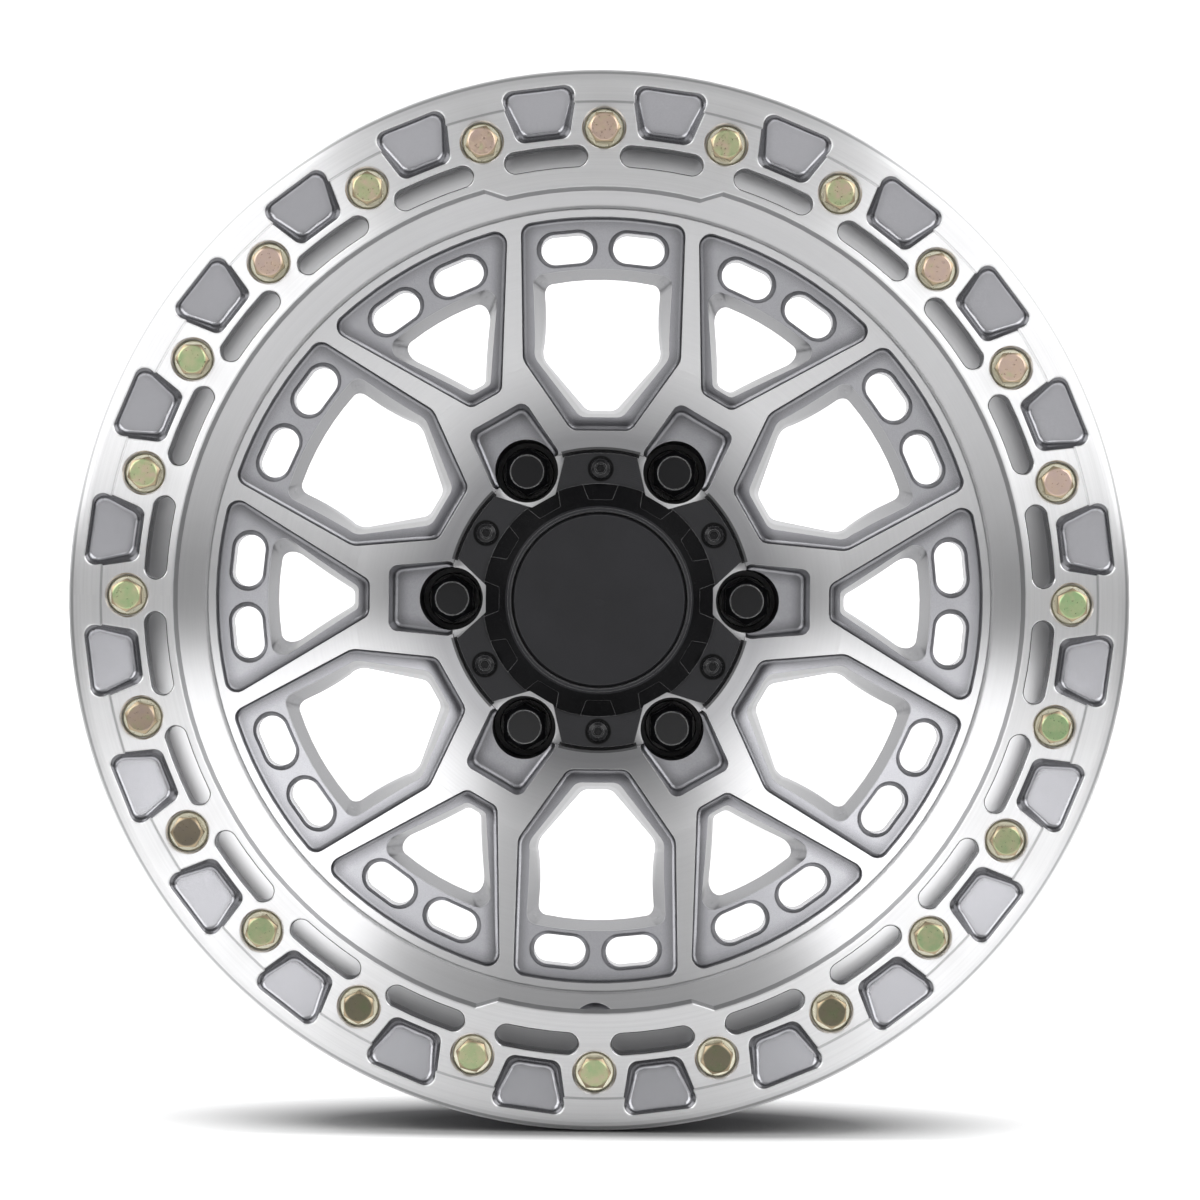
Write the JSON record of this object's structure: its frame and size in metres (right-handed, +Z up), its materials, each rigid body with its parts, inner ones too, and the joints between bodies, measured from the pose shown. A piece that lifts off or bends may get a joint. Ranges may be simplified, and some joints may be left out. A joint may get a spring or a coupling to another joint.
{
  "type": "alloy wheel",
  "caption": "Off-road alloy rim without tyre: dished split spokes, drop-centre barrel, bolted bead clamp ring, centre cap and closed wheel nuts, fixed to a hub face by studs.",
  "frame": {"origin": "on the spin axis, at the hub mounting face", "axes": "+Y along the spin axis towards the car, the dressed outer face looks to -Y; +Z up with the valve hole at the foot, as pictured"},
  "size_m": [0.4779, 0.2582, 0.478],
  "materials": {
    "cast_alloy": "turned faces, grey painted recesses",
    "turned_alloy": "bright turned",
    "zinc_steel": "yellow zinc plated",
    "black_alloy": "satin black",
    "black_plastic": "matte",
    "black_steel": "black oxide",
    "gloss_steel": "gloss black"
  },
  "bodies": {
    "root": {"wheel_casting": "cast_alloy", "clamp_ring": "turned_alloy", "ring_bolts": "zinc_steel", "centre_cap": "black_alloy", "cap_disc": "black_plastic", "cap_screws": "black_steel", "lug_nuts": "gloss_steel"}
  },
  "joints": []
}
